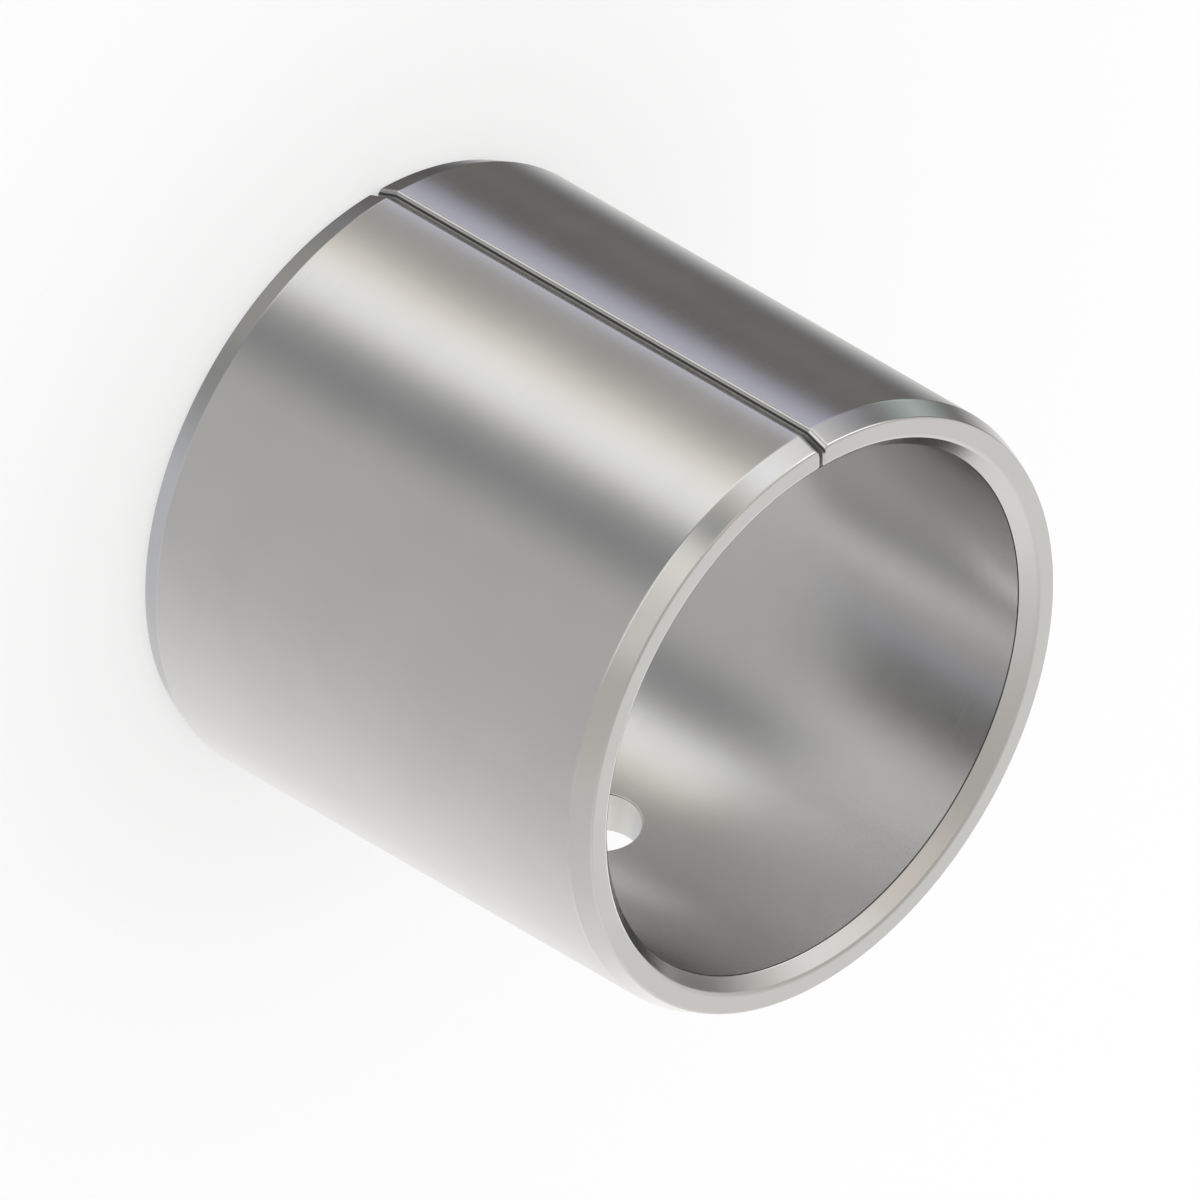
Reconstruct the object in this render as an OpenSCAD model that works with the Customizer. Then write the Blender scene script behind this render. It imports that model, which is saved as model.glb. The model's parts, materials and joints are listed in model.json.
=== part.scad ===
// Split bushing: a plain sliding sleeve, rolled from one flat steel strip into a
// ring. The two ends of the strip meet in a straight butt joint along the whole
// length, and a lubrication hole goes through the wall opposite the joint.
// Millimetres. The sleeve stands on its lower end, +Z runs up the bore, and the
// joint faces -Y.

/* [Sleeve] */
// Diameter over the outside, which the housing holds
outside_d = 30; // [24:0.5:60]
// Thickness of the strip that the sleeve is rolled from
wall_t = 2; // [1.6:0.1:3]
// Length of the sleeve over its two end faces
sleeve_len = 28.2; // [16:0.1:60]

/* [End chamfers] */
// Length of the slim lead-in chamfer outside each end
lead_len = 1.1; // [0.6:0.05:1.6]
// Slope of the lead-in chamfer against the sleeve's axis, in degrees
lead_angle = 20; // [12:1:25]
// Width of the chamfer round the bore at each end
mouth_w = 0.65; // [0.3:0.05:0.8]
// Slope of the bore's chamfer against the sleeve's axis, in degrees
mouth_angle = 45; // [30:1:50]
// Radius on both rims of each end face
rim_r = 0.1; // [0.04:0.02:0.2]

/* [Butt joint] */
// Gap left between the two ends of the strip
gap_w = 0.2; // [0.1:0.05:0.6]
// Radius on the joint's edges outside the sleeve
joint_r = 0.32; // [0.15:0.01:0.6]
// Radius on the joint's edges inside the bore
joint_bore_r = 0.08; // [0.04:0.02:0.2]
// Width of the fine bevel on the gap's edges at each end face
end_bevel_w = 0.12; // [0.04:0.02:0.2]

/* [Lubrication hole] */
// Diameter of the hole through the wall
hole_d = 4.5; // [2:0.1:8]
// Angle from the joint round to the hole, in degrees
hole_angle = 179; // [90:1:270]
// Distance from the middle of the sleeve up to the hole's centre
hole_rise = -0.3; // [-3:0.1:3]

/* [Hidden] */
$fn = 180;

outside_r = outside_d / 2;
bore_r = outside_r - wall_t;

// Radial depth of the lead-in, and length of the bore's chamfer
lead_depth = lead_len * tan(lead_angle);
mouth_len = mouth_w / tan(mouth_angle);

// How far each cutter reaches past the surface that it opens
past = 1;

// How far a rounding circle stands proud of the surfaces that it blends, so that
// it crosses them cleanly
proud = 0.001;

// Unit vector at an angle in degrees
function unit(a) = [cos(a), sin(a)];

// What a rounded corner of radius r clears from a section. The two sides that
// meet there have outward normals at angles normal_a and normal_b.
module corner_clearance(corner, normal_a, normal_b, r) {
  mid = (normal_a + normal_b) / 2;
  spread = cos((normal_b - normal_a) / 2);
  reach = r + past;
  translate(corner - (r - proud) / spread * unit(mid))
    difference() {
      polygon([
        [0, 0],
        reach * unit(normal_a),
        reach / spread * unit(mid),
        reach * unit(normal_b),
      ]);
      circle(r = r);
    }
}

// The two rims of the lower end face: the bore's chamfer and the lead-in
module rim_clearances() {
  corner_clearance([bore_r + mouth_w, 0], -180 + mouth_angle, -90, rim_r);
  corner_clearance([outside_r - lead_depth, 0], -90, -lead_angle, rim_r);
}

// Section of the wall, radius across and height up
module wall_section() {
  difference() {
    polygon([
      [bore_r, mouth_len],
      [bore_r + mouth_w, 0],
      [outside_r - lead_depth, 0],
      [outside_r, lead_len],
      [outside_r, sleeve_len - lead_len],
      [outside_r - lead_depth, sleeve_len],
      [bore_r + mouth_w, sleeve_len],
      [bore_r, sleeve_len - mouth_len],
    ]);
    rim_clearances();
    translate([0, sleeve_len]) mirror([0, 1]) rim_clearances();
  }
}

// What a round edge of radius r clears on one side of the joint, between the
// gap's wall and a surface of radius surface_r, seen along the sleeve. The metal
// lies inside that surface, or outside it where outwards is -1.
module edge_clearance(surface_r, r, outwards) {
  centre_x = gap_w / 2 + r - proud;
  centre_r = surface_r - outwards * (r - proud);
  centre_y = -sqrt(centre_r * centre_r - centre_x * centre_x);
  open_r = surface_r + outwards * past;
  difference() {
    polygon([
      [0, centre_y],
      [centre_x, centre_y],
      [centre_x, centre_y] * open_r / centre_r,
      [0, -open_r],
    ]);
    translate([centre_x, centre_y]) circle(r = r);
  }
}

// The mouth on both sides of the joint, as a bar of the given length
module joint_mouth(surface_r, r, outwards, bar_len) {
  linear_extrude(bar_len) {
    edge_clearance(surface_r, r, outwards);
    mirror([1, 0]) edge_clearance(surface_r, r, outwards);
  }
}

// The outer mouth at the lower end, leaning inwards with the lead-in chamfer
module leaning_mouth() {
  translate([0, -outside_r, lead_len])
    rotate([lead_angle, 0, 0])
      translate([0, outside_r, -lead_len - past])
        joint_mouth(outside_r, joint_r, 1, lead_len + past);
}

// The fine bevels where the gap opens through the lower end face, cut by one
// bar with a V section
module end_bevels() {
  mouth = gap_w / 2 + end_bevel_w;
  rotate([90, 0, 0])
    linear_extrude(outside_r + past)
      polygon([[-mouth - past, -past], [mouth + past, -past], [0, mouth]]);
}

// What opens the joint at the lower end
module joint_end() {
  leaning_mouth();
  end_bevels();
}

// The gap itself and the round edges along it
module joint_cut() {
  translate([-gap_w / 2, -outside_r - past, -past])
    cube([gap_w, outside_r + past, sleeve_len + 2 * past]);
  joint_mouth(outside_r, joint_r, 1, sleeve_len);
  joint_mouth(bore_r, joint_bore_r, -1, sleeve_len);
  joint_end();
  translate([0, 0, sleeve_len]) mirror([0, 0, 1]) joint_end();
}

// The lubrication hole, drilled from the bore outwards
module hole_cut() {
  rotate([0, 0, hole_angle - 90])
    translate([bore_r / 2, 0, sleeve_len / 2 + hole_rise])
      rotate([0, 90, 0])
        cylinder(h = outside_r, d = hole_d);
}

module sleeve() {
  color("silver")
    difference() {
      rotate_extrude() wall_section();
      joint_cut();
      hole_cut();
    }
}

sleeve();
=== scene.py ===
import json
from math import asin, cos, pi, radians, sin, sqrt, tan

import bmesh
import bpy
from mathutils import Matrix, Vector


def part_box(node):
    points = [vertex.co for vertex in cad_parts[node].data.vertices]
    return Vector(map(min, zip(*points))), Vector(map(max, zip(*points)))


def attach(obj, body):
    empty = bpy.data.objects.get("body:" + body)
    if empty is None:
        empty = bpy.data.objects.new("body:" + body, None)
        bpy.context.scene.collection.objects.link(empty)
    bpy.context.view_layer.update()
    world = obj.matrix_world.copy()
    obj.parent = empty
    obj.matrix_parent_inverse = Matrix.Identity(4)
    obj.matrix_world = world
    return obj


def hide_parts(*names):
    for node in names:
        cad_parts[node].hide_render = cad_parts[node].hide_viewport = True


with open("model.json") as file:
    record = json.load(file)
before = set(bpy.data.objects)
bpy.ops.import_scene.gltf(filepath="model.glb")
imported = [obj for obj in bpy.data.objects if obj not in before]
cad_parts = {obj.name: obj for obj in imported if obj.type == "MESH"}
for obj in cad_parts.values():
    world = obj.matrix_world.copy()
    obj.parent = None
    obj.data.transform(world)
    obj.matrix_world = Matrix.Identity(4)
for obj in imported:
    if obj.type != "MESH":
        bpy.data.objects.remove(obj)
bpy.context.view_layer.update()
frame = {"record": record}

# The sleeve: a steel strip rolled into a ring until its ends meet in a straight butt joint,
# then ground outside and bored. Both ends have a shallow lead-in outside and a 45 degree
# mouth inside, and every edge is eased. Sizes are in millimetres, from the box and mounts.
mounts = {mount["name"]: mount for mount in frame["record"]["mounts"]}
sleeve_low, sleeve_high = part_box("sleeve")
sleeve_len = (sleeve_high.z - sleeve_low.z) * 1000
outside_r = mounts["outside"]["dims"]["r_mm"]
bore_r = mounts["bore"]["dims"]["r_mm"]
lead_len = (sleeve_len - mounts["outside"]["dims"]["length_mm"]) / 2
lead_angle = radians(20)
lead_depth = lead_len * tan(lead_angle)
mouth_len = (sleeve_len - mounts["bore"]["dims"]["length_mm"]) / 2
mouth_depth = mouth_len
outer_rim_w = 0.08
inner_rim_w = 0.12
crease_w = 0.045

# The wall's section is drawn as eight corners, from the bore outwards and up, and
# each corner is rounded: the rims of the end faces, and the creases of the chamfers.
ring = bmesh.new()
section_number = ring.verts.layers.int.new("section_number")
corners = [
    (bore_r, mouth_len),
    (bore_r + mouth_depth, 0),
    (outside_r - lead_depth, 0),
    (outside_r, lead_len),
    (outside_r, sleeve_len - lead_len),
    (outside_r - lead_depth, sleeve_len),
    (bore_r + mouth_depth, sleeve_len),
    (bore_r, sleeve_len - mouth_len),
]
places = range(len(corners))
lower_eases = (crease_w, inner_rim_w, outer_rim_w, crease_w)
ring.faces.new([ring.verts.new((r, 0, z)) for r, z in corners])
for corner, ease_w in zip(ring.verts[:], lower_eases + lower_eases[::-1]):
    bmesh.ops.bevel(
        ring, geom=[corner], affect="VERTICES", offset=ease_w, offset_type="OFFSET",
        segments=6, profile=0.5, material=-1,
    )

# A narrow strip beside each rounding keeps the flat parts of the wall flat in shading.
strip_w = 0.03
for edge in [e for e in ring.edges if e.calc_length() > 10 * strip_w]:
    near_end, far_end = edge.verts
    bmesh.utils.edge_split(edge, near_end, strip_w / edge.calc_length())
    long_edge = max(far_end.link_edges, key=lambda e: e.calc_length())
    bmesh.utils.edge_split(long_edge, far_end, strip_w / long_edge.calc_length())
section = []
for number, v in enumerate(ring.verts):
    nearest = min(places, key=lambda place: (Vector(corners[place]) - v.co.xz).length)
    v[section_number] = number
    section.append((v.co.x, v.co.z, nearest))
bmesh.ops.delete(ring, geom=ring.faces[:], context="FACES_ONLY")

# The section is swung round the bore, from just before the joint's one lip to just
# past the other.
gap_w = 0.2
lip_reach = 0.435
lip_r = 0.26
lip_slope = radians(48)
ease_r = 0.13
clear_of_lip = 0.1
joint_turn = asin((lip_reach + clear_of_lip) / outside_r)
bmesh.ops.rotate(
    ring, verts=ring.verts, cent=(0, 0, 0), matrix=Matrix.Rotation(joint_turn - pi / 2, 3, "Z")
)
right_side = ring.edges[:]
swung = bmesh.ops.spin(
    ring, geom=ring.verts[:] + ring.edges[:], cent=(0, 0, 0), axis=(0, 0, 1),
    angle=2 * pi - 2 * joint_turn, steps=600,
)
left_side = [e for e in swung["geom_last"] if isinstance(e, bmesh.types.BMEdge)]

# Each side of the joint ends in a flat sheared face across the gap. The outside
# rolls over and slopes down to it, and the other edges are only eased.
roll_end = lip_reach - lip_r * sin(lip_slope)
slope_end = gap_w / 2 + ease_r * (1 - sin(lip_slope))
slope_depth = lip_r * (1 - cos(lip_slope)) + (roll_end - slope_end) * tan(lip_slope)


def outside_drop(reach):
    """How far the outside has come down, this far from the middle of the gap."""
    if reach > roll_end:
        return lip_r - sqrt(lip_r ** 2 - (lip_reach - reach) ** 2)
    if reach > slope_end:
        return slope_depth - (reach - slope_end) * tan(lip_slope)
    turn = asin(1 - (reach - gap_w / 2) / ease_r)
    return slope_depth + ease_r * (cos(lip_slope) - cos(turn))


def eased_drop(reach):
    """The same for the end faces, the bore and its chamfers."""
    over = max(0, gap_w / 2 + ease_r - reach)
    return ease_r - sqrt(ease_r ** 2 - over ** 2)


next_corners = corners[1:] + corners[:1]
flats = [Vector(after) - Vector(corner) for corner, after in zip(corners, next_corners)]
facing = [Vector((flat.y, -flat.x)).normalized() for flat in flats]
drops = [outside_drop if place in (2, 3, 4) else eased_drop for place in places]
roll_steps = 7
ease_steps = 9
reaches = [lip_reach - lip_r * sin(lip_slope * step / roll_steps) for step in range(roll_steps + 1)]
reaches += [
    gap_w / 2 + ease_r * (1 - sin(pi / 2 * step / ease_steps)) for step in range(ease_steps + 1)
]
for side, lip in ((1, right_side), (-1, left_side)):
    for reach in sorted(reaches, reverse=True):
        shifts = [
            Matrix((facing[place - 1], facing[place])).inverted()
            @ Vector((-drops[place - 1](reach), -drops[place](reach)))
            for place in places
        ]
        grown = bmesh.ops.extrude_edge_only(ring, edges=lip)["geom"]
        fresh = {v for v in grown if isinstance(v, bmesh.types.BMVert)}
        lip = [e for e in grown if isinstance(e, bmesh.types.BMEdge) and fresh.issuperset(e.verts)]
        for v in fresh:
            r, z, nearest = section[v[section_number]]
            r, z = Vector((r, z)) + shifts[nearest]
            v.co = (side * reach, -sqrt(r * r - reach * reach), z)
    bmesh.ops.contextual_create(ring, geom=lip)
bmesh.ops.remove_doubles(ring, verts=ring.verts, dist=1e-4)
bmesh.ops.recalc_face_normals(ring, faces=ring.faces)
bmesh.ops.scale(ring, verts=ring.verts, vec=(0.001, 0.001, 0.001))
bmesh.ops.translate(ring, verts=ring.verts, vec=(0, 0, sleeve_low.z))
sleeve_mesh = bpy.data.meshes.new("steel_sleeve")
ring.to_mesh(sleeve_mesh)
ring.free()
sleeve = bpy.data.objects.new("steel_sleeve", sleeve_mesh)
bpy.context.scene.collection.objects.link(sleeve)

# The lubrication hole: drilled straight through the wall, about opposite the
# joint, with both of its rims just broken by a deburring tool.
hole = mounts["lubrication_hole"]
hole_r = hole["dims"]["r_mm"] / 1000
hole_ease = 0.00006
drill_r = hole_r + hole_ease
hole_turn = Vector(hole["axis"]).to_track_quat("Z", "Y").to_matrix().to_4x4()
hole_frame = Matrix.Translation(hole["pos_m"]) @ hole_turn
drill = bmesh.new()
bmesh.ops.create_cone(
    drill, cap_ends=True, segments=144, depth=3 * (outside_r - bore_r) / 1000,
    radius1=drill_r, radius2=drill_r, matrix=hole_frame,
)
drill_mesh = bpy.data.meshes.new("hole_drill")
drill.to_mesh(drill_mesh)
drill.free()
drill_object = bpy.data.objects.new("hole_drill", drill_mesh)
bpy.context.scene.collection.objects.link(drill_object)
drilling = sleeve.modifiers.new("lubrication_hole", "BOOLEAN")
drilling.operation = "DIFFERENCE"
drilling.solver = "EXACT"
drilling.object = drill_object
drilled = sleeve.evaluated_get(bpy.context.evaluated_depsgraph_get())
sleeve.data = bpy.data.meshes.new_from_object(drilled)
sleeve.modifiers.clear()
bpy.data.objects.remove(drill_object)

# The raw hole's wall is taken out, each rim is rolled inwards, and the two rolled
# rims are joined by a new wall.
wall = bmesh.new()
wall.from_mesh(sleeve.data)
to_hole = hole_frame.inverted()


def from_hole_axis(v):
    """Distance of a corner from the hole's axis."""
    return (to_hole @ v.co).xy.length


slack = 2e-6
raw_wall = [
    f for f in wall.faces if all(abs(from_hole_axis(v) - drill_r) < slack for v in f.verts)
]
bmesh.ops.delete(wall, geom=raw_wall, context="FACES")
rim_edges = [e for e in wall.edges if e.is_boundary]
hole_rims = [
    [e for e in rim_edges if (to_hole @ e.verts[0].co).z * side > 0] for side in (1, -1)
]
rolled = []
rim_steps = 4
for side, rim in zip((1, -1), hole_rims):
    size = drill_r
    depth = 0
    for step in range(1, rim_steps + 1):
        turn = pi / 2 * step / rim_steps
        grown = bmesh.ops.extrude_edge_only(wall, edges=rim)["geom"]
        fresh = {v for v in grown if isinstance(v, bmesh.types.BMVert)}
        rim = [e for e in grown if isinstance(e, bmesh.types.BMEdge) and fresh.issuperset(e.verts)]
        new_size = hole_r + hole_ease * (1 - sin(turn))
        new_depth = hole_ease * (1 - cos(turn))
        narrower = (new_size / size, new_size / size, 1)
        inwards = (0, 0, side * (depth - new_depth))
        bmesh.ops.scale(wall, verts=list(fresh), vec=narrower, space=to_hole)
        bmesh.ops.translate(wall, verts=list(fresh), vec=inwards, space=to_hole)
        size, depth = new_size, new_depth
    rolled += rim
bmesh.ops.bridge_loops(wall, edges=rolled)
for f in wall.faces:
    f.smooth = True
for e in hole_rims[0] + hole_rims[1]:
    e.smooth = False
bmesh.ops.recalc_face_normals(wall, faces=wall.faces)
wall.to_mesh(sleeve.data)
wall.free()
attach(sleeve, "root")
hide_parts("sleeve")

# The finish: bare steel, ground to a fine satin whose marks run round the sleeve and its
# end faces. The handled creases are a little brighter and the hole's wall is bright as cut.
# The joint's slopes are dull, and painted shade darkens them and the fine line where each mouth
# starts.
steel = bpy.data.materials.new("satin_steel")
steel.use_nodes = True
nodes, links = steel.node_tree.nodes, steel.node_tree.links
surface = nodes["Principled BSDF"]
surface.inputs["Metallic"].default_value = 1.0
place = nodes.new("ShaderNodeTexCoord")
axes = nodes.new("ShaderNodeSeparateXYZ")
links.new(place.outputs["Object"], axes.inputs["Vector"])


def work_out(operation, *values):
    """One Math node, fed from sockets or plain numbers."""
    node = nodes.new("ShaderNodeMath")
    node.operation = operation
    for socket, value in zip(node.inputs, values):
        if isinstance(value, bpy.types.NodeSocket):
            links.new(value, socket)
        else:
            socket.default_value = value
    return node.outputs["Value"]


def spread(value, low, high, new_low, new_high):
    """A value from one range carried over to another, and held inside it."""
    node = nodes.new("ShaderNodeMapRange")
    links.new(value, node.inputs["Value"])
    ends = {"From Min": low, "From Max": high, "To Min": new_low, "To Max": new_high}
    for name, number in ends.items():
        node.inputs[name].default_value = number
    return node.outputs["Result"]


def up_to(distance, edge, soft):
    """A mask of 1 up to an edge and 0 past it, for a distance in metres. The edge and
    the width of the soft change there are in millimetres."""
    return spread(distance, (edge - soft / 2) / 1000, (edge + soft / 2) / 1000, 1, 0)


def past(distance, edge, soft):
    """The other way round, 0 up to the edge and 1 past it."""
    return spread(distance, (edge - soft / 2) / 1000, (edge + soft / 2) / 1000, 0, 1)


def both(mask, other_mask):
    """Where two masks meet."""
    return work_out("MULTIPLY", mask, other_mask)


def laid_over(below, mask, tone):
    """A plain tone over what is below it, as far as the mask says."""
    node = nodes.new("ShaderNodeMix")
    node.data_type = "RGBA"
    links.new(mask, node.inputs["Factor"])
    links.new(below, node.inputs["A"])
    node.inputs["B"].default_value = (*tone, 1)
    return node.outputs["Result"]


# Marks and clouds are counted per metre: the marks are long round the sleeve and very
# fine across, both on the outside and on the end faces.
marks_round = 110
marks_across = 14000
clouds_across = 240
x_squared = work_out("MULTIPLY", axes.outputs["X"], axes.outputs["X"])
y_squared = work_out("MULTIPLY", axes.outputs["Y"], axes.outputs["Y"])
from_axis = work_out("SQRT", work_out("ADD", x_squared, y_squared))
along_marks = nodes.new("ShaderNodeMapping")
along_marks.inputs["Scale"].default_value = (marks_round, marks_round, marks_across)
links.new(place.outputs["Object"], along_marks.inputs["Vector"])
grinding = nodes.new("ShaderNodeTexNoise")
grinding.noise_dimensions = "4D"
grinding.inputs["Scale"].default_value = 1.0
grinding.inputs["Detail"].default_value = 2.0
links.new(along_marks.outputs["Vector"], grinding.inputs["Vector"])
links.new(work_out("MULTIPLY", from_axis, marks_across), grinding.inputs["W"])
clouds = nodes.new("ShaderNodeTexNoise")
clouds.inputs["Scale"].default_value = clouds_across
clouds.inputs["Detail"].default_value = 4.0
links.new(place.outputs["Object"], clouds.inputs["Vector"])

# Masks for the creases outside, the joint, the hole's wall and the bore. The joint's slopes get
# painted shade, and its sheared faces are left without it apart from near the ends, where they get
# some.
half_len = sleeve_len / 2000
from_middle = work_out("ABSOLUTE", work_out("SUBTRACT", axes.outputs["Z"], sleeve_low.z + half_len))
below_end = work_out("SUBTRACT", half_len, from_middle)
from_crease = work_out("ABSOLUTE", work_out("SUBTRACT", below_end, lead_len / 1000))
at_crease = both(up_to(from_crease, 0.075, 0.09), past(from_axis, outside_r - 0.125, 0.15))
wear = both(at_crease, spread(clouds.outputs["Fac"], 0.35, 0.6, 0, 1))

joint_side = work_out("LESS_THAN", axes.outputs["Y"], 0.0)
from_joint = work_out("ABSOLUTE", axes.outputs["X"])
on_face = both(up_to(below_end, 0.1, 0.04), up_to(from_axis, outside_r - lead_depth - 0.31, 0.1))
off_face = both(joint_side, work_out("SUBTRACT", 1.0, on_face))
at_joint = both(off_face, up_to(from_joint, 0.21, 0.03))
sheared = both(off_face, up_to(from_joint, 0.125, 0.014))
sheared_unshaded = both(sheared, spread(below_end, 0.0007, 0.0015, 0.62, 1))

hole_side = work_out("GREATER_THAN", axes.outputs["Y"], 0.0)
away_from_ends = work_out("GREATER_THAN", below_end, (lead_len + 1) / 1000)
in_wall = both(past(from_axis, bore_r + 0.06, 0.04), up_to(from_axis, outside_r - 0.06, 0.04))
in_hole = both(in_wall, both(away_from_ends, hole_side))

in_bore = up_to(from_axis, bore_r + 0.1, 0.1)
# A thin painted dark line, painted shade, along the crease where each mouth meets the bore.
from_mouth = work_out("ABSOLUTE", work_out("SUBTRACT", below_end, (mouth_len + 0.02) / 1000))
mouth_line = both(in_bore, up_to(from_mouth, 0.032, 0.016))
# Painted shade: the joint's slopes, its sheared faces near the ends and a thin line where each mouth
# starts are painted dark.
painted_shade = work_out("MAXIMUM", work_out("SUBTRACT", at_joint, sheared_unshaded), mouth_line)

colour = nodes.new("ShaderNodeMix")
colour.data_type = "RGBA"
colour.inputs["A"].default_value = (0.735, 0.732, 0.724, 1)
colour.inputs["B"].default_value = (0.765, 0.763, 0.757, 1)
links.new(spread(clouds.outputs["Fac"], 0.3, 0.7, 0, 1), colour.inputs["Factor"])
worn = laid_over(colour.outputs["Result"], wear, (0.80, 0.80, 0.80))
fresh_cut = laid_over(worn, in_hole, (0.92, 0.91, 0.89))
# The painted shade goes on last, as a dark grey.
finished = laid_over(fresh_cut, painted_shade, (0.13, 0.13, 0.13))
links.new(finished, surface.inputs["Base Color"])

satin = (0.17, 0.21)
cloudy = 0.008
handled = 0.03
dull = 0.5
bored = 0.04
sheen = spread(grinding.outputs["Fac"], 0.25, 0.75, *satin)
sheen = work_out("ADD", sheen, spread(clouds.outputs["Fac"], 0.3, 0.7, -cloudy, cloudy))
sheen = work_out("SUBTRACT", sheen, work_out("MULTIPLY", wear, handled))
sheen = work_out("ADD", sheen, work_out("MULTIPLY", at_joint, dull))
sheen = work_out("ADD", sheen, work_out("MULTIPLY", in_bore, bored))
links.new(sheen, surface.inputs["Roughness"])

marks = nodes.new("ShaderNodeBump")
marks.inputs["Strength"].default_value = 0.12
marks.inputs["Distance"].default_value = 0.000002
links.new(grinding.outputs["Fac"], marks.inputs["Height"])
links.new(marks.outputs["Normal"], surface.inputs["Normal"])
sleeve.data.materials.clear()
sleeve.data.materials.append(steel)

# The stage: a plain white floor that the sleeve stands on. The camera sees it nearly
# white, with a faint shadow. The metal looks through it, so that the tent's light
# reaches the sleeve from all round and through its bore.
floor_drop = 0.00002
floor_reach = 3.0
floor_glow = 0.5
floor = bmesh.new()
bmesh.ops.create_grid(
    floor, x_segments=1, y_segments=1, size=floor_reach,
    matrix=Matrix.Translation((0, 0, sleeve_low.z - floor_drop)),
)
floor_mesh = bpy.data.meshes.new("floor")
floor.to_mesh(floor_mesh)
floor.free()
floor_object = bpy.data.objects.new("floor", floor_mesh)
bpy.context.scene.collection.objects.link(floor_object)
white = bpy.data.materials.new("white_floor")
white.use_nodes = True
nodes, links = white.node_tree.nodes, white.node_tree.links
nodes.remove(nodes["Principled BSDF"])
paint = nodes.new("ShaderNodeBsdfDiffuse")
paint.inputs["Color"].default_value = (1, 1, 1, 1)
clear = nodes.new("ShaderNodeBsdfTransparent")
ray = nodes.new("ShaderNodeLightPath")
side = nodes.new("ShaderNodeNewGeometry")
see_through = work_out("MAXIMUM", ray.outputs["Is Glossy Ray"], side.outputs["Backfacing"])
glow = nodes.new("ShaderNodeEmission")
glow.inputs["Color"].default_value = (1, 1, 1, 1)
glow.inputs["Strength"].default_value = 1.0
whitened = nodes.new("ShaderNodeMixShader")
links.new(work_out("MULTIPLY", ray.outputs["Is Camera Ray"], floor_glow), whitened.inputs["Fac"])
links.new(paint.outputs["BSDF"], whitened.inputs[1])
links.new(glow.outputs["Emission"], whitened.inputs[2])
floor_mix = nodes.new("ShaderNodeMixShader")
links.new(see_through, floor_mix.inputs["Fac"])
links.new(whitened.outputs["Shader"], floor_mix.inputs[1])
links.new(clear.outputs["BSDF"], floor_mix.inputs[2])
links.new(floor_mix.outputs["Shader"], nodes["Material Output"].inputs["Surface"])
floor_mesh.materials.append(white)

# The light: a white tent all round, as for a product photograph of bright metal,
# with soft grey and white cards hung in it for the metal to show. The floor and
# the picture's background see plain white.
tent = bpy.data.worlds.new("light_tent")
tent.use_nodes = True
bpy.context.scene.world = tent
nodes, links = tent.node_tree.nodes, tent.node_tree.links
looking = nodes.new("ShaderNodeTexCoord")
split = nodes.new("ShaderNodeSeparateXYZ")
links.new(looking.outputs["Generated"], split.inputs["Vector"])
bearing = work_out("MULTIPLY", work_out("ARCTAN2", split.outputs["Y"], split.outputs["X"]), 180 / pi)
rise = work_out("MULTIPLY", work_out("ARCSINE", split.outputs["Z"]), 180 / pi)
straight_away = 135


def soft_edge(distance, half_size, softness):
    """1 well within half_size, 0 well beyond it, for a distance in degrees."""
    node = nodes.new("ShaderNodeMapRange")
    node.interpolation_type = "SMOOTHSTEP"
    node.inputs["From Min"].default_value = half_size + softness / 2
    node.inputs["From Max"].default_value = half_size - softness / 2
    links.new(distance, node.inputs["Value"])
    return node.outputs["Result"]


def hang_card(below, name, azimuth, elevation, width, height, soft, soft_up, lean, colour):
    """Hangs a card in front of what is there. Azimuth runs from straight away from the
    camera round by the joint's side; a card may lean, and all angles are in degrees."""
    above = work_out("SUBTRACT", rise, elevation)
    aside = work_out("SUBTRACT", bearing, straight_away + azimuth)
    if lean:
        aside = work_out("SUBTRACT", aside, work_out("MULTIPLY", above, lean))
    sideways = work_out("ABSOLUTE", work_out("WRAP", aside, 180, -180))
    mask = soft_edge(work_out("ABSOLUTE", above), height / 2, soft_up)
    if width < 360:
        mask = both(mask, soft_edge(sideways, width / 2, soft))
    card = laid_over(below, mask, colour)
    card.node.label = name
    return card


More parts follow.
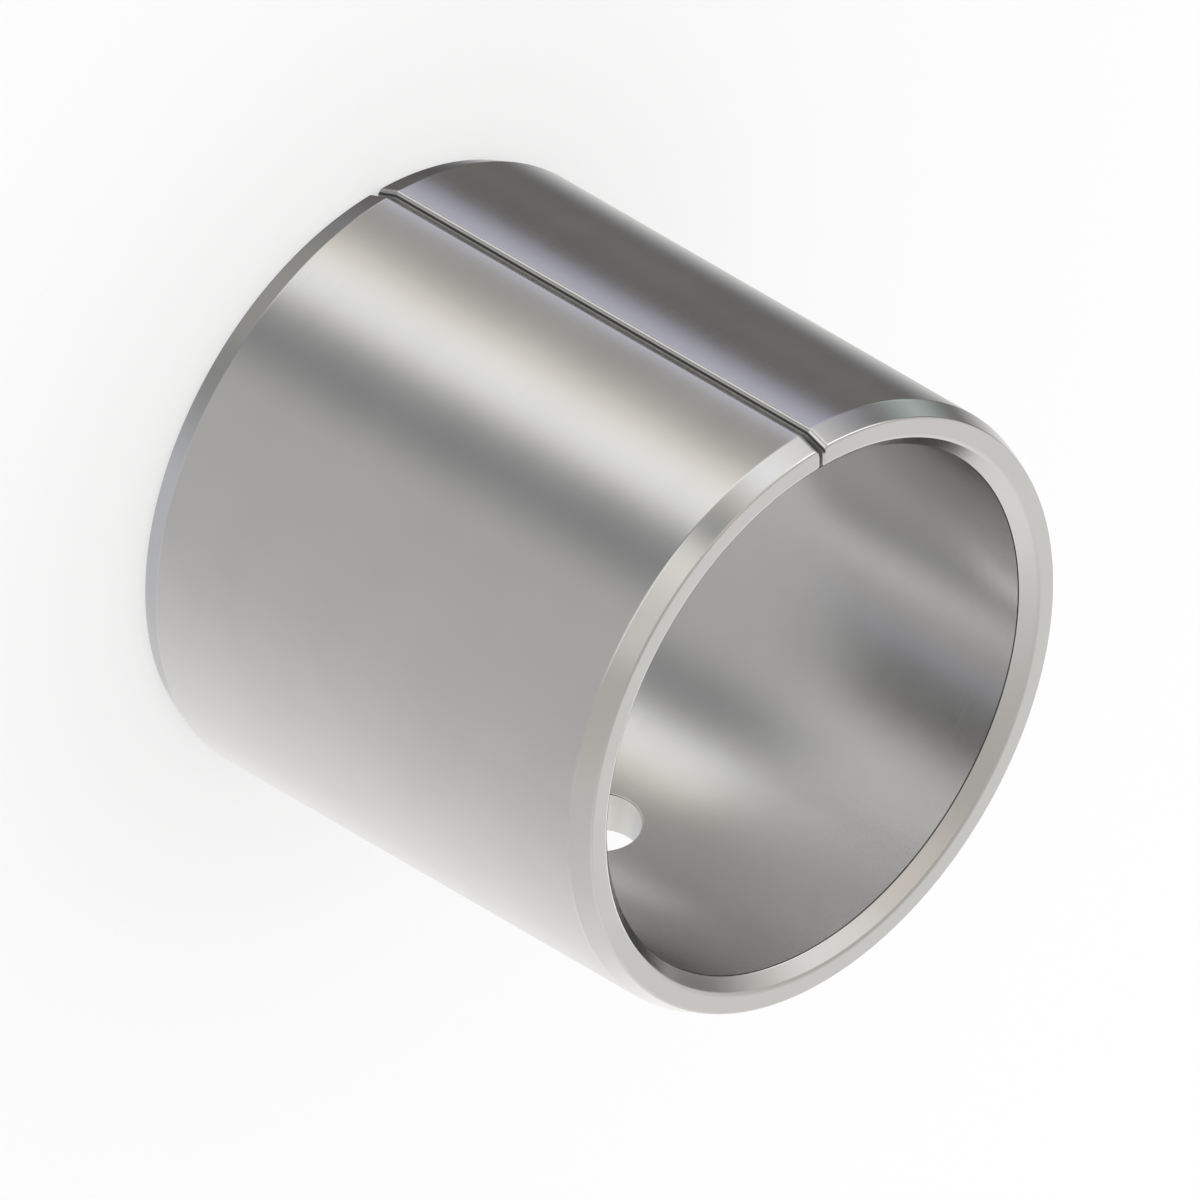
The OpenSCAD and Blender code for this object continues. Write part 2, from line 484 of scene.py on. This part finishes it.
# Each card has its azimuth and elevation, width and height, softness sideways and up,
# lean and colour. A later card hangs in front of the ones before it.
tent_wall = nodes.new("ShaderNodeRGB")
tent_wall.outputs["Color"].default_value = (0.481, 0.465, 0.433, 1)
seen = tent_wall.outputs["Color"]
for card in (
    ("open side", 24, -22, 162, 43, 130, 60, 1.14, (1.44, 1.42, 1.37)),
    ("upper side", 320, 19, 146, 68, 130, 83, -0.08, (0.88, 0.86, 0.86)),
    ("top light", 125, 39, 42, 44, 57, 7, 0.84, (0.75, 0.70, 0.63)),
    ("under the floor", 270, -90, 360, 96, 16, 52, 0, (0.56, 0.57, 0.61)),
    ("dark under the floor", 126, -71, 200, 60, 83, 6, -1.19, (0.30, 0.30, 0.29)),
    ("cool side", 123, -45, 52, 64, 6, 37, -0.38, (0.39, 0.38, 0.36)),
    ("cool strip", 74, -34, 43, 51, 6, 8, 0.36, (0.78, 0.78, 0.92)),
    ("shade", 45, -49, 61, 131, 50, 18, 0.35, (0.07, 0.07, 0.08)),
    ("dark card", 55, -29, 40, 66, 7, 18, -0.03, (0.15, 0.14, 0.13)),
    ("teal card", 57, -18, 15, 28, 26, 6, 0.08, (0.54, 0.625, 0.61)),
    ("warm strip", 136, -24, 21, 75, 30, 10, 0.56, (1.05, 1.00, 0.88)),
    ("bright strip", 130, -21, 14, 64, 19, 18, -0.46, (1.03, 1.04, 1.07)),
    ("dark strip", 159, -27, 20, 71, 21, 9, -0.43, (0.25, 0.26, 0.26)),
    ("low light", 178, -3, 44, 12, 11, 7, -0.97, (1.13, 1.11, 1.09)),
    ("lamp", 95, 35, 33, 23, 11, 47, 0.73, (1.01, 1.00, 0.98)),
    ("strip light", 92, 9, 36, 14, 14, 6, 0, (2.60, 2.60, 2.58)),
    ("edge light", 6, -8, 28, 32, 12, 10, 0, (1.75, 1.74, 1.72)),
):
    seen = hang_card(seen, *card)
backdrop = nodes["Background"]
links.new(seen, backdrop.inputs["Color"])
even = nodes.new("ShaderNodeBackground")
even.inputs["Color"].default_value = (1, 1, 1, 1)
even.inputs["Strength"].default_value = 1.0
tent_ray = nodes.new("ShaderNodeLightPath")
tent_mix = nodes.new("ShaderNodeMixShader")
links.new(tent_ray.outputs["Is Glossy Ray"], tent_mix.inputs["Fac"])
links.new(even.outputs["Background"], tent_mix.inputs[1])
links.new(backdrop.outputs["Background"], tent_mix.inputs[2])
links.new(tent_mix.outputs["Shader"], nodes["World Output"].inputs["Surface"])

# The camera: the photograph has no perspective. It looks down at the standing
# sleeve from the joint's left, equally steeply to all three axes, and is rolled
# so that the bore points to the lower right. Pixels are the photograph's.
photo_px = 1200
outside_px = 672.2
middle_px = (599.5, 587.0)
joint_turned = radians(-45.18)
roll = radians(30)
camera_away = 0.3
up_bore = Vector((0, 0, 1))
across_view = Matrix.Rotation(joint_turned, 3, up_bore) @ Vector((0, -1, 0))
camera_side = up_bore.cross(across_view)
tilt_in = asin(1 / sqrt(3))
along_bore = up_bore * cos(tilt_in) - camera_side * sin(tilt_in)
to_right = along_bore * cos(roll) + across_view * sin(roll)
to_top = across_view * cos(roll) - along_bore * sin(roll)
to_camera = to_right.cross(to_top)
px = 2 * outside_r / 1000 / outside_px
middle = (sleeve_low + sleeve_high) / 2
aim = middle + px * (photo_px / 2 - middle_px[0]) * to_right
aim += px * (middle_px[1] - photo_px / 2) * to_top
camera_data = bpy.data.cameras.new("camera")
camera_data.type = "ORTHO"
camera_data.ortho_scale = photo_px * px
camera = bpy.data.objects.new("camera", camera_data)
camera_axes = Matrix((to_right, to_top, to_camera)).transposed().to_4x4()
camera.matrix_world = Matrix.Translation(aim + to_camera * camera_away) @ camera_axes
bpy.context.scene.collection.objects.link(camera)
bpy.context.scene.camera = camera

bpy.context.scene.view_settings.view_transform = "Standard"
